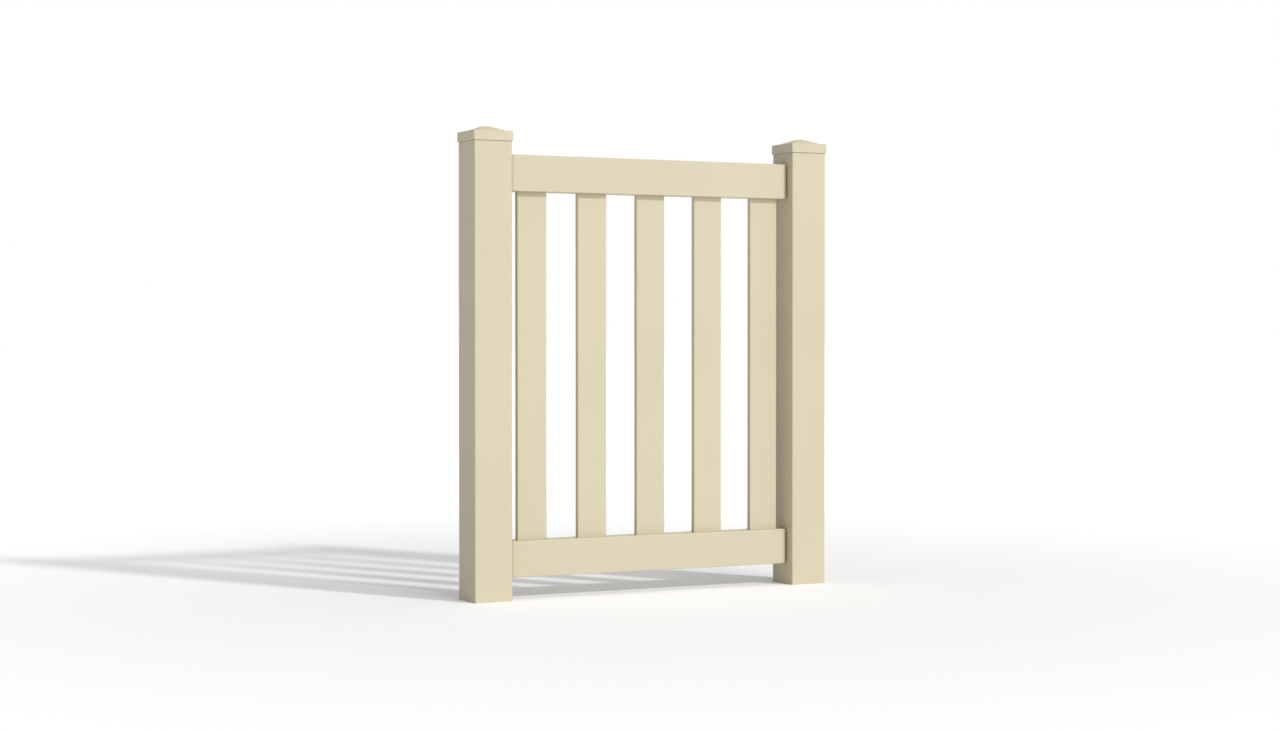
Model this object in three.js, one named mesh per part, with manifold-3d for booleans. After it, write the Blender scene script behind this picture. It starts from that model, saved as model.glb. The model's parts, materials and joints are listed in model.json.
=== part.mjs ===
// A one-metre garden gate in hollow vinyl extrusion: two capped square posts on bolt-down anchors, and between
// them a leaf of two rails and five pickets that swings to the rear on two pin hinges and is held by a slide bolt.
// Millimetres, +Z up. The origin is on the ground, midway between the posts and midway through their depth.
// -Y is the street side, +Y is the garden side, where the hinges and the bolt are. +X is the hinge side.
import * as THREE from "three";
import { mergeVertices } from "three/addons/utils/BufferGeometryUtils.js";
import Module from "manifold-3d";

const wasm = await Module();
wasm.setup();

// ---- Driving dimensions ----

const CONTACT_GAP = 0.3; // between pieces that touch
const CORNER_SEGMENTS = 3; // per quarter round on the extrusions
const ARC_SEGMENTS = 4; // three.js doubles this on each arc of the hardware
const ROUND_SIDES = 16; // of rods, knuckles and turned pieces

const OPENING = 800; // clear width between the posts
const POST_WIDTH = 100;
const POST_WALL = 4;
const POST_CORNER = 3;
const POST_HEIGHT = 1143; // the tube, whose top is inside the cap

const CAP_BOTTOM = 1126.5; // lower edge of the cap's skirt
const CAP_OVERHANG = 2.5;
const CAP_SKIRT = 24;
const CAP_LEDGE = 9; // from the skirt's face to the foot of the pyramid
const CAP_RISE = 16.6; // of the pyramid above the skirt, to the point that its faces aim at
const CAP_TIP = 13; // how far from the axis the faces start to round over
const CAP_SHELL = 3;
const CAP_CHAMFER = 1; // along the top of the skirt
const CAP_CORNER = 2.5;
const CAP_INNER_CORNER = 1.2;

const RAIL_DEPTH = 50;
const RAIL_HEIGHT = 90;
const RAIL_WALL = 3;
const RAIL_CORNER = 2;
const DRAIN_RADIUS = 3; // of the holes in the lower rail's floor
const TOP_RAIL_Z = 1051; // rail centres
const BOTTOM_RAIL_Z = 100;
const LATCH_GAP = 10; // between the leaf and the latch post
const HINGE_GAP = 4; // between the leaf and the hinge post

const PICKET_COUNT = 5;
const PICKET_WIDTH = 80;
const PICKET_DEPTH = 15;
const PICKET_WALL = 1.8;
const PICKET_CORNER = 2.5;
const PICKET_PITCH = 166;
const PICKET_CENTRE_X = 5; // the middle picket
const PICKET_INSET = 40; // how far each end stands inside a rail
const SLOT_CLEARANCE = 0.4;

const PLUG_FLANGE = 5;
const PLUG_ROUND = 4;
const PLUG_SPIGOT = 10;
const PLUG_WALL = 2.5;

const STIFFENER_WALL = 2;
const STIFFENER_FLANGE = 12.5;
const STIFFENER_CLEARANCE = 0.5; // to the rail's inner faces
const STIFFENER_END_SPACE = 20; // from the rail tube's end

const ANCHOR_PLATE = 88;
const ANCHOR_PLATE_THICKNESS = 8;
const ANCHOR_PLATE_CORNER = 4;
const ANCHOR_TUBE = 50;
const ANCHOR_TUBE_WALL = 3;
const ANCHOR_HEIGHT = 1092;
const ANCHOR_HOLE_RADIUS = 5.5;
const ANCHOR_HOLE_OFFSET = 34; // from the post's axis, each way

const COLLAR_HEIGHT = 76;
const COLLAR_CHAMFER = 5;
const COLLAR_MIDDLE_Z = 575;

const HINGE_HEIGHT = 70;
const HINGE_PLATE = 2.5;
const HINGE_PLATE_FRONT = -12; // the front edge of the post's plate, as y
const STRAP_PLATE = 3;
const STRAP_ROOT_HALF = 30; // half the strap's width at the hinge
const STRAP_TIP_HALF = 12;
const STRAP_SHOULDER = 18; // how far the full width runs
const KNUCKLE_RADIUS = 7;
const KNUCKLE_LENGTH = 26; // the strap's, in the middle of the hinge
const POST_KNUCKLE_LENGTH = 20;
const PIN_RADIUS = 4;
const KNUCKLE_BORE = 4.3;
const KNUCKLE_CLEARANCE = 1.2; // from a knuckle to the plate that turns past it
const PIN_HEAD_RADIUS = 6.5;
const PIN_HEAD_HEIGHT = 4.2;
const PIN_END = 2.5; // how far the pin stands out below
const WASHER_THICKNESS = 1.4;
const WASHER_RADIUS = 6.6;
const PIVOT_FROM_POST = 7.5; // hinge axis to the post's inner face
const PIVOT_FROM_RAIL = 7.5; // hinge axis to the rail's rear face
const STRAP_REACH = 142; // from the hinge axis to the strap's tip

const BOLT_RADIUS = 6;
const BOLT_TRAVEL = 30;
const BOLT_LENGTH = 98;
const BOLT_FROM_RAIL = 10; // bolt axis to the rail's rear face
const BOLT_PLATE = 2.5;
const BOLT_PLATE_HEIGHT = 44;
const BOLT_PLATE_LENGTH = 85;
const BOLT_PLATE_GAP = 3; // from its tab to the latch post
const LOOP_WIDTH = 12;
const LOOP_WALL = 2.5;
const LOOP_BORE = 6.5;
const KNOB_STEM_RADIUS = 4.5;
const KNOB_SPIGOT_RADIUS = 1.9; // inside the bolt
const KNOB_CLEARANCE = 0.5; // from its stem to a loop at each end of the travel
const KNOB_HEAD_RADIUS = 7.5;

const STRIKE_PLATE = 2;
const STRIKE_HEIGHT = 72;
const STRIKE_HOLE = 16;
const STRIKE_LIP = 6.1; // how far the stop lip stands out from the post
const BOLT_HOLE = 17; // square hole in the post's wall and collar

const SCREW_RADIUS = 2.1;
const SCREW_HOLE = 2.5;
const SCREW_SIDES = 8;
const SCREW_HEAD_RADIUS = 4.2;
const SCREW_HEAD_HEIGHT = 2.4;
const SCREW_POINT = 3;
const COUNTERSINK_DEPTH = 2.4;
const HINGE_SCREW_LENGTH = 22;
const STRIKE_SCREW_LENGTH = 20;

// ---- Places worked out from them ----

const POST_X = OPENING / 2 + POST_WIDTH / 2;
const LEAF_LEFT = -OPENING / 2 + LATCH_GAP;
const LEAF_RIGHT = OPENING / 2 - HINGE_GAP;
const RAIL_REAR = RAIL_DEPTH / 2;
const PIVOT_X = OPENING / 2 - PIVOT_FROM_POST;
const PIVOT_Y = RAIL_REAR + PIVOT_FROM_RAIL;
const BOLT_Y = RAIL_REAR + BOLT_FROM_RAIL;
const BOLT_TIP_X = LEAF_LEFT + 2; // drawn back
const PICKET_BOTTOM = BOTTOM_RAIL_Z + RAIL_HEIGHT / 2 - PICKET_INSET;
const PICKET_TOP = TOP_RAIL_Z - RAIL_HEIGHT / 2 + PICKET_INSET;
const SCREW_TIP_Y = PICKET_DEPTH / 2 + 3.5; // the leaf's screws stop short of the pickets

// ---- Materials ----

const plastic = (color, roughness) => new THREE.MeshStandardMaterial({ color, roughness, metalness: 0 });
const metal = (color, roughness) => new THREE.MeshStandardMaterial({ color, roughness, metalness: 1 });
const VINYL = plastic(0xe2d8ba, 0.45);
const COLLAR = plastic(0x5b5d5e, 0.6);
const NYLON = plastic(0xefece2, 0.5);
const BLACK_STEEL = plastic(0x1b1c1d, 0.5);
const STAINLESS = metal(0xb9bbbd, 0.3);
const GALVANISED = metal(0x9fa4a7, 0.55);
const ALUMINIUM = metal(0xc4c7c9, 0.4);

// ---- Shapes and solids ----

// A rectangle with round corners, centred, as points in anticlockwise order.
function roundedOutline(width, height, radius) {
  const points = [];
  for (let corner = 0; corner < 4; corner++) {
    const x = [1, -1, -1, 1][corner] * (width / 2 - radius);
    const y = [1, 1, -1, -1][corner] * (height / 2 - radius);
    for (let step = 0; step <= CORNER_SEGMENTS; step++) {
      const angle = (corner + step / CORNER_SEGMENTS) * (Math.PI / 2);
      points.push(new THREE.Vector2(x + radius * Math.cos(angle), y + radius * Math.sin(angle)));
    }
  }
  return points;
}

const roundedRectangle = (width, height, radius) => new THREE.Shape(roundedOutline(width, height, radius));

// The section of a hollow extrusion.
function tubeSection(width, height, wall, radius) {
  const section = roundedRectangle(width, height, radius);
  const inside = Math.max(radius - wall, 0.8);
  section.holes.push(new THREE.Path(roundedOutline(width - 2 * wall, height - 2 * wall, inside)));
  return section;
}

function polygon(points) {
  return new THREE.Shape(points.map(([x, y]) => new THREE.Vector2(x, y)));
}

// Extrusions: the section's own x and y lie along the two axes that the name leaves out.
function extrudeZ(section, from, to) {
  const options = { depth: to - from, bevelEnabled: false, curveSegments: ARC_SEGMENTS };
  return new THREE.ExtrudeGeometry(section, options).translate(0, 0, from);
}

// Section x is +Y and section y is +Z.
function extrudeX(section, from, to) {
  const turn = new THREE.Matrix4().set(0, 0, 1, 0, 1, 0, 0, 0, 0, 1, 0, 0, 0, 0, 0, 1);
  return extrudeZ(section, from, to).applyMatrix4(turn);
}

// Section x is +X and section y is +Z.
function extrudeY(section, from, to) {
  return extrudeZ(section, -to, -from).rotateX(Math.PI / 2);
}

function block(x, y, z) {
  const size = [x[1] - x[0], y[1] - y[0], z[1] - z[0]];
  return new THREE.BoxGeometry(...size).translate((x[0] + x[1]) / 2, (y[0] + y[1]) / 2, (z[0] + z[1]) / 2);
}

// A cylinder along an axis, by the name of the axis, from one place on it to another.
function rod(axis, radius, from, to, sides = ROUND_SIDES) {
  const made = new THREE.CylinderGeometry(radius, radius, to - from, sides).translate(0, (from + to) / 2, 0);
  if (axis === "x") made.rotateZ(-Math.PI / 2);
  if (axis === "z") made.rotateX(Math.PI / 2);
  return made;
}

// A stack of rounded rectangles along +Z, each { halfX, halfY, radius, z }, closed by a flat fan at each end.
function loft(rings) {
  const outlines = rings.map((ring) => roundedOutline(2 * ring.halfX, 2 * ring.halfY, ring.radius));
  const count = outlines[0].length;
  const positions = [];
  outlines.forEach((outline, i) => outline.forEach((p) => positions.push(p.x, p.y, rings[i].z)));
  const centre = positions.length / 3;
  positions.push(0, 0, rings[0].z, 0, 0, rings.at(-1).z);
  const faces = [];
  for (let i = 0; i < count; i++) {
    const next = (i + 1) % count;
    for (let level = 0; level < rings.length - 1; level++) {
      const low = level * count;
      const high = low + count;
      faces.push(low + i, low + next, high + next, low + i, high + next, high + i);
    }
    const last = (rings.length - 1) * count;
    faces.push(centre, next, i, centre + 1, last + i, last + next);
  }
  const geometry = new THREE.BufferGeometry();
  geometry.setAttribute("position", new THREE.Float32BufferAttribute(positions, 3));
  geometry.setIndex(faces);
  return geometry;
}

function solidOf(geometry) {
  const bare = geometry.clone();
  bare.deleteAttribute("normal");
  bare.deleteAttribute("uv");
  const merged = mergeVertices(bare, 1e-4);
  const vertProperties = merged.attributes.position.array;
  const triVerts = new Uint32Array(merged.index.array);
  return new wasm.Manifold(new wasm.Mesh({ numProp: 3, vertProperties, triVerts }));
}

function geometryOf(solid) {
  const { vertProperties, triVerts } = solid.getMesh();
  const geometry = new THREE.BufferGeometry();
  geometry.setAttribute("position", new THREE.BufferAttribute(new Float32Array(vertProperties), 3));
  geometry.setIndex(new THREE.BufferAttribute(new Uint32Array(triVerts), 1));
  geometry.computeVertexNormals();
  return geometry;
}

const join = (...geometries) => geometryOf(geometries.map(solidOf).reduce((a, b) => a.add(b)));
const cut = (geometry, tools) => geometryOf(tools.map(solidOf).reduce((a, b) => a.subtract(b), solidOf(geometry)));

function add(group, name, geometry, material, x = 0, y = 0, z = 0) {
  const mesh = new THREE.Mesh(geometry, material);
  mesh.name = name;
  mesh.position.set(x, y, z);
  group.add(mesh);
  return mesh;
}

// ---- Screws ----

// Both screws drive along -Y from a face at y = 0, and reach `length` beyond it.
function panScrew(length) {
  const profile = [
    [0, SCREW_HEAD_HEIGHT],
    [SCREW_HEAD_RADIUS * 0.6, SCREW_HEAD_HEIGHT * 0.88],
    [SCREW_HEAD_RADIUS * 0.93, SCREW_HEAD_HEIGHT * 0.5],
    [SCREW_HEAD_RADIUS, CONTACT_GAP],
    [SCREW_RADIUS, CONTACT_GAP],
    [SCREW_RADIUS, SCREW_POINT - length],
    [0, -length],
  ];
  return latheDown(profile);
}

function countersunkScrew(length) {
  const profile = [
    [0, 0],
    [SCREW_HEAD_RADIUS - 0.2, 0],
    [SCREW_RADIUS, 0.2 - COUNTERSINK_DEPTH],
    [SCREW_RADIUS, SCREW_POINT - length],
    [0, -length],
  ];
  return latheDown(profile);
}

// A lathe around +Y of a profile given from its top down.
function latheDown(profile) {
  const points = profile.map(([radius, y]) => new THREE.Vector2(radius, y)).reverse();
  return new THREE.LatheGeometry(points, SCREW_SIDES);
}

// The hole that a countersunk screw needs: a cone in the plate's face at y = 0 and a clear shank.
function countersink(depth) {
  const wide = SCREW_HEAD_RADIUS + 0.1;
  const cone = new THREE.CylinderGeometry(wide, SCREW_HOLE, COUNTERSINK_DEPTH, SCREW_SIDES);
  const mouth = new THREE.CylinderGeometry(wide, wide, 1, SCREW_SIDES);
  const shank = new THREE.CylinderGeometry(SCREW_HOLE, SCREW_HOLE, depth, SCREW_SIDES);
  return join(
    cone.translate(0, -COUNTERSINK_DEPTH / 2, 0),
    mouth.translate(0, 0.499, 0),
    shank.translate(0, -depth / 2 - 1, 0),
  );
}

// ---- Posts ----

// Where screws enter each post's inner face, in the post's own frame, as [y, z].
const HINGE_SCREWS = [[-3, 26], [-3, -26], [14, 10], [14, -10]];
const STRIKE_SCREWS = [[BOLT_Y, 27], [BOLT_Y, -27]];
const hingeHoles = [TOP_RAIL_Z, BOTTOM_RAIL_Z].flatMap((z) => HINGE_SCREWS.map(([y, dz]) => [y, z + dz]));
const strikeHoles = STRIKE_SCREWS.map(([y, dz]) => [y, TOP_RAIL_Z + dz]);

// Tools that open a post or a collar for screws on its inner side, which is at side * POST_WIDTH / 2.
function innerScrewTools(side, holes, depth) {
  const outer = POST_WIDTH / 2 + 1;
  return holes.map(([y, z]) => {
    const ends = [side * outer, side * (outer - depth)].sort((a, b) => a - b);
    return rod("x", SCREW_HOLE, ...ends, SCREW_SIDES).translate(0, y, z);
  });
}

function boltTool(side, depth) {
  const ends = [side * (POST_WIDTH / 2 + 1), side * (POST_WIDTH / 2 - depth)].sort((a, b) => a - b);
  const half = BOLT_HOLE / 2;
  return block(ends, [BOLT_Y - half, BOLT_Y + half], [TOP_RAIL_Z - half, TOP_RAIL_Z + half]);
}

function postTube(tools) {
  const section = tubeSection(POST_WIDTH, POST_WIDTH, POST_WALL, POST_CORNER);
  return cut(extrudeZ(section, 0, POST_HEIGHT), tools);
}

// The height of a cap's pyramid above the skirt, at some distance from the axis towards a side.
function pyramidHeight(distance, foot) {
  const flat = distance > CAP_TIP ? distance : (distance ** 2 + CAP_TIP ** 2) / (2 * CAP_TIP);
  return CAP_RISE * (1 - flat / foot);
}

// A moulded cap: a skirt around the post, a narrow ledge and a low pyramid with a rounded tip, hollow from below.
function postCap() {
  const half = POST_WIDTH / 2 + CAP_OVERHANG;
  const foot = half - CAP_LEDGE;
  const inside = POST_WIDTH / 2 + CONTACT_GAP;
  const square = (halfWidth, z, radius = CAP_CORNER) => ({ halfX: halfWidth, halfY: halfWidth, radius, z });
  const faces = [foot, CAP_TIP, CAP_TIP * 0.6, CAP_TIP * 0.25].map((distance) =>
    square(distance, CAP_SKIRT + pyramidHeight(distance, foot), Math.min(CAP_CORNER, distance * 0.6)),
  );
  const edge = [square(half, CAP_SKIRT - CAP_CHAMFER), square(half - CAP_CHAMFER, CAP_SKIRT)];
  const outer = loft([square(half, 0), ...edge, ...faces]);
  const inner = loft([
    square(inside, -1, CAP_INNER_CORNER),
    square(inside, CAP_SKIRT - CAP_SHELL, CAP_INNER_CORNER),
    square(CAP_TIP, CAP_SKIRT + pyramidHeight(CAP_TIP, foot) - CAP_SHELL, CAP_INNER_CORNER),
  ]);
  return cut(outer, [inner]);
}

// The steel core that carries the post: a square tube welded to a plate with four ground-bolt holes.
function anchor() {
  const outline = roundedRectangle(ANCHOR_PLATE, ANCHOR_PLATE, ANCHOR_PLATE_CORNER);
  const plate = extrudeZ(outline, 0, ANCHOR_PLATE_THICKNESS);
  const section = tubeSection(ANCHOR_TUBE, ANCHOR_TUBE, ANCHOR_TUBE_WALL, POST_CORNER);
  const tube = extrudeZ(section, ANCHOR_PLATE_THICKNESS - 1, ANCHOR_HEIGHT);
  const holes = [-1, 1].flatMap((sx) =>
    [-1, 1].map((sy) =>
      rod("z", ANCHOR_HOLE_RADIUS, -1, ANCHOR_PLATE_THICKNESS + 1).translate(
        sx * ANCHOR_HOLE_OFFSET,
        sy * ANCHOR_HOLE_OFFSET,
        0,
      ),
    ),
  );
  return cut(join(plate, tube), holes);
}

// A moulded spacer between the core and the post, which also takes the screws. It is centred on z = 0.
function collar(tools) {
  const half = POST_WIDTH / 2 - POST_WALL - CONTACT_GAP;
  const c = COLLAR_CHAMFER;
  const section = polygon([
    [half, -half + c], [half, half - c], [half - c, half], [c - half, half],
    [-half, half - c], [-half, c - half], [c - half, -half], [half - c, -half],
  ]);
  const bore = ANCHOR_TUBE + 2 * CONTACT_GAP;
  section.holes.push(new THREE.Path(roundedOutline(bore, bore, POST_CORNER)));
  return cut(extrudeZ(section, -COLLAR_HEIGHT / 2, COLLAR_HEIGHT / 2), tools);
}

// `side` is the way from the post to the opening: +1 for the latch post, -1 for the hinge post.
function buildPost(name, side, screwHoles, withBolt) {
  const group = new THREE.Group();
  group.position.x = -side * POST_X;
  const wallTools = innerScrewTools(side, screwHoles, POST_WALL + 2);
  if (withBolt) wallTools.push(boltTool(side, POST_WALL + 1));
  add(group, name, postTube(wallTools), VINYL);
  add(group, `${name}_cap`, postCap(), VINYL, 0, 0, CAP_BOTTOM);
  add(group, `${name}_anchor`, anchor(), GALVANISED);
  const collars = { low: BOTTOM_RAIL_Z, middle: COLLAR_MIDDLE_Z, high: TOP_RAIL_Z };
  for (const [place, z] of Object.entries(collars)) {
    const near = screwHoles.filter(([, at]) => Math.abs(at - z) < COLLAR_HEIGHT / 2);
    const tools = innerScrewTools(side, near, POST_WIDTH / 2 - ANCHOR_TUBE / 2);
    if (withBolt && place === "high") tools.push(boltTool(side, POST_WIDTH / 2 - ANCHOR_TUBE / 2 - 4));
    tools.forEach((tool) => tool.translate(0, 0, -z));
    add(group, `${name}_collar_${place}`, collar(tools), COLLAR, 0, 0, z);
  }
  return group;
}

// ---- Hinges, each in its own frame with the pin's axis along Z through the origin ----

const POST_FACE = PIVOT_FROM_POST - CONTACT_GAP; // the hinge plate's back, as x
const LEAF_FACE = -PIVOT_FROM_RAIL + CONTACT_GAP; // the strap's back, as y
const STRAP_SCREWS = [[-37, 18], [-37, -18], [-118, 0]]; // as [x, z]

// The half on the post: a plate in the gap, notched round the strap's knuckle, and two outer knuckles.
function hingePostLeaf() {
  const half = HINGE_HEIGHT / 2;
  const front = HINGE_PLATE_FRONT - PIVOT_Y;
  const plate = block([POST_FACE - HINGE_PLATE, POST_FACE], [front, 0], [-half, half]);
  const knuckles = [-1, 1].map((end) => {
    const ends = [end * (half - POST_KNUCKLE_LENGTH), end * half].sort((a, b) => a - b);
    return rod("z", KNUCKLE_RADIUS, ...ends);
  });
  const notch = half - POST_KNUCKLE_LENGTH;
  const tools = [
    rod("z", KNUCKLE_BORE - 0.1, -half - 1, half + 1),
    block([POST_FACE - HINGE_PLATE - 1, POST_FACE + 1], [-KNUCKLE_RADIUS - KNUCKLE_CLEARANCE, 1], [-notch, notch]),
  ];
  for (const [y, z] of HINGE_SCREWS) {
    const tool = countersink(HINGE_PLATE + 2).rotateZ(Math.PI / 2);
    tools.push(tool.translate(POST_FACE - HINGE_PLATE, y - PIVOT_Y, z));
  }
  return cut(join(plate, ...knuckles), tools);
}

// The half on the leaf: a tapering strap on the rail's rear face, with one knuckle between the other two.
function hingeStrap() {
  const root = -KNUCKLE_RADIUS - KNUCKLE_CLEARANCE;
  const wide = STRAP_ROOT_HALF;
  const narrow = STRAP_TIP_HALF;
  const shoulder = root - STRAP_SHOULDER;
  const outline = polygon([[root, -wide], [root, wide], [shoulder, wide], [narrow - STRAP_REACH, narrow]]);
  outline.absarc(narrow - STRAP_REACH, 0, narrow, Math.PI / 2, 1.5 * Math.PI);
  outline.lineTo(shoulder, -wide);
  outline.closePath();
  const plate = extrudeY(outline, LEAF_FACE, LEAF_FACE + STRAP_PLATE);
  const half = KNUCKLE_LENGTH / 2;
  const tongue = block([root - 1, 0], [LEAF_FACE, LEAF_FACE + STRAP_PLATE], [-half, half]);
  const tools = [rod("z", KNUCKLE_BORE, -half - 1, half + 1)];
  for (const [x, z] of STRAP_SCREWS) {
    tools.push(rod("y", SCREW_HOLE, LEAF_FACE - 1, LEAF_FACE + STRAP_PLATE + 1, SCREW_SIDES).translate(x, 0, z));
  }
  return cut(join(plate, tongue, rod("z", KNUCKLE_RADIUS, -half, half)), tools);
}

function hingePin() {
  const half = HINGE_HEIGHT / 2;
  const profile = [
    [0, -half - PIN_END],
    [PIN_RADIUS - 1, -half - PIN_END],
    [PIN_RADIUS, 1 - half - PIN_END],
    [PIN_RADIUS, half + CONTACT_GAP],
    [PIN_HEAD_RADIUS, half + CONTACT_GAP],
    [PIN_HEAD_RADIUS, half + PIN_HEAD_HEIGHT * 0.48],
    [PIN_HEAD_RADIUS * 0.7, half + PIN_HEAD_HEIGHT * 0.86],
    [0, half + PIN_HEAD_HEIGHT],
  ];
  const points = profile.map(([radius, y]) => new THREE.Vector2(radius, y));
  return new THREE.LatheGeometry(points, ROUND_SIDES).rotateX(Math.PI / 2);
}

function washer() {
  const hole = rod("z", KNUCKLE_BORE, -WASHER_THICKNESS, WASHER_THICKNESS);
  return cut(rod("z", WASHER_RADIUS, -WASHER_THICKNESS / 2, WASHER_THICKNESS / 2), [hole]);
}

// Adds one hinge, its fixed half to `posts` and its moving half to `leaf`.
function buildHinge(name, z, posts, leaf) {
  const fixed = new THREE.Group();
  const moving = new THREE.Group();
  fixed.position.set(PIVOT_X, PIVOT_Y, z);
  moving.position.copy(fixed.position);
  posts.add(fixed);
  leaf.add(moving);
  add(fixed, `${name}_post_leaf`, hingePostLeaf(), BLACK_STEEL);
  add(fixed, `${name}_pin`, hingePin(), STAINLESS);
  HINGE_SCREWS.forEach(([y, dz], i) => {
    const place = [POST_FACE - HINGE_PLATE, y - PIVOT_Y, dz];
    const screw = countersunkScrew(HINGE_SCREW_LENGTH).rotateZ(Math.PI / 2);
    add(fixed, `${name}_post_screw_${i + 1}`, screw, STAINLESS, ...place);
  });
  add(moving, `${name}_strap`, hingeStrap(), BLACK_STEEL);
  const washerZ = (HINGE_HEIGHT / 2 - POST_KNUCKLE_LENGTH + KNUCKLE_LENGTH / 2) / 2;
  add(moving, `${name}_washer_lower`, washer(), NYLON, 0, 0, -washerZ);
  add(moving, `${name}_washer_upper`, washer(), NYLON, 0, 0, washerZ);
  const face = LEAF_FACE + STRAP_PLATE;
  STRAP_SCREWS.forEach(([x, dz], i) => {
    const screw = panScrew(PIVOT_Y + face - SCREW_TIP_Y);
    add(moving, `${name}_strap_screw_${i + 1}`, screw, STAINLESS, x, face, dz);
  });
}

// ---- Leaf ----

const BOLT_SCREWS = [[-360, 16], [-360, -16], [-322, 16], [-322, -16]]; // as [x, z] from the rail's centre
const strapHoles = STRAP_SCREWS.map(([x, z]) => [PIVOT_X + x, z]);
const picketX = (i) => PICKET_CENTRE_X + (i - (PICKET_COUNT - 1) / 2) * PICKET_PITCH;

// Tools that open what lies between the pickets and some way behind the rail, at [x, z].
function rearScrewTools(holes, behind = 1) {
  const ends = [SCREW_TIP_Y, RAIL_REAR + behind];
  return holes.map(([x, z]) => rod("y", SCREW_HOLE, ...ends, SCREW_SIDES).translate(x, 0, z));
}

// A rail about its own centre, slotted for the pickets on its `open` side: -1 underneath, +1 on top.
function rail(open, rearHoles) {
  const section = tubeSection(RAIL_DEPTH, RAIL_HEIGHT, RAIL_WALL, RAIL_CORNER);
  const tube = extrudeX(section, LEAF_LEFT + PLUG_FLANGE, LEAF_RIGHT - PLUG_FLANGE);
  const face = RAIL_HEIGHT / 2;
  const through = [open * (face - RAIL_WALL - 1), open * (face + 1)].sort((a, b) => a - b);
  const width = PICKET_WIDTH + 2 * SLOT_CLEARANCE;
  const depth = PICKET_DEPTH + 2 * SLOT_CLEARANCE;
  const tools = rearScrewTools(rearHoles);
  for (let i = 0; i < PICKET_COUNT; i++) {
    const slot = roundedRectangle(width, depth, PICKET_CORNER + SLOT_CLEARANCE);
    tools.push(extrudeZ(slot, ...through).translate(picketX(i), 0, 0));
  }
  if (open > 0) {
    // under the gaps between pickets
    for (const x of [picketX(0.5), picketX(PICKET_COUNT - 1.5)]) {
      tools.push(rod("z", DRAIN_RADIUS, -face - 1, RAIL_WALL + 1 - face, 12).translate(x, 0, 0));
    }
  }
  return cut(tube, tools);
}

// A moulded plug: a round-edged flange over the rail's end and a hollow spigot inside it, facing +X.
function railPlug() {
  const rings = [{ halfX: RAIL_HEIGHT / 2, halfY: RAIL_DEPTH / 2, radius: RAIL_CORNER, z: CONTACT_GAP }];
  for (let step = 0; step <= 4; step++) {
    const angle = (step / 4) * (Math.PI / 2);
    const inset = PLUG_ROUND * (1 - Math.cos(angle));
    rings.push({
      halfX: RAIL_HEIGHT / 2 - inset,
      halfY: RAIL_DEPTH / 2 - inset,
      radius: RAIL_CORNER,
      z: PLUG_FLANGE - PLUG_ROUND + PLUG_ROUND * Math.sin(angle),
    });
  }
  const flange = loft(rings).rotateY(Math.PI / 2);
  const height = RAIL_HEIGHT - 2 * (RAIL_WALL + CONTACT_GAP);
  const depth = RAIL_DEPTH - 2 * (RAIL_WALL + CONTACT_GAP);
  const spigot = extrudeX(tubeSection(depth, height, PLUG_WALL, 0.9), -PLUG_SPIGOT, CONTACT_GAP + 1);
  return join(flange, spigot);
}

// An aluminium channel behind the pickets, with its web on the rail's rear wall, which the rear screws bite.
function railStiffener(rearHoles) {
  const half = RAIL_HEIGHT / 2 - RAIL_WALL - STIFFENER_CLEARANCE;
  const rear = RAIL_REAR - RAIL_WALL - STIFFENER_CLEARANCE;
  const front = rear - STIFFENER_FLANGE;
  const wall = STIFFENER_WALL;
  const section = polygon([
    [rear, -half], [rear, half], [front, half], [front, half - wall],
    [rear - wall, half - wall], [rear - wall, wall - half], [front, wall - half], [front, -half],
  ]);
  const inset = PLUG_FLANGE + STIFFENER_END_SPACE;
  return cut(extrudeX(section, LEAF_LEFT + inset, LEAF_RIGHT - inset), rearScrewTools(rearHoles));
}

function picket() {
  const section = tubeSection(PICKET_WIDTH, PICKET_DEPTH, PICKET_WALL, PICKET_CORNER);
  return extrudeZ(section, PICKET_BOTTOM, PICKET_TOP);
}

function buildRail(group, name, z, open, rearHoles) {
  add(group, name, rail(open, rearHoles), VINYL, 0, 0, z);
  add(group, `${name}_stiffener`, railStiffener(rearHoles), ALUMINIUM, 0, 0, z);
  add(group, `${name}_plug_hinge_side`, railPlug(), VINYL, LEAF_RIGHT - PLUG_FLANGE, 0, z);
  const plug = railPlug().rotateZ(Math.PI);
  add(group, `${name}_plug_latch_side`, plug, VINYL, LEAF_LEFT + PLUG_FLANGE, 0, z);
}

// ---- Slide bolt and its strike plate ----

// The plate's latch end runs past the leaf as a tab, which meets the strike plate's lip when the gate is shut.
const BOLT_PLATE_LEFT = -OPENING / 2 + BOLT_PLATE_GAP;
const KNOB_PATH = BOLT_TRAVEL + 2 * (KNOB_STEM_RADIUS + KNOB_CLEARANCE);
const LOOPS = [BOLT_TIP_X, BOLT_TIP_X + LOOP_WIDTH + KNOB_PATH];

// A bridge over the bolt, standing on the plate; its section is in Y and Z about the bolt's axis.
function loopSection(radius, foot) {
  const section = new THREE.Shape();
  section.moveTo(foot, -radius);
  section.lineTo(0, -radius);
  section.absarc(0, 0, radius, -Math.PI / 2, Math.PI / 2);
  section.lineTo(foot, radius);
  section.closePath();
  return section;
}

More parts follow.
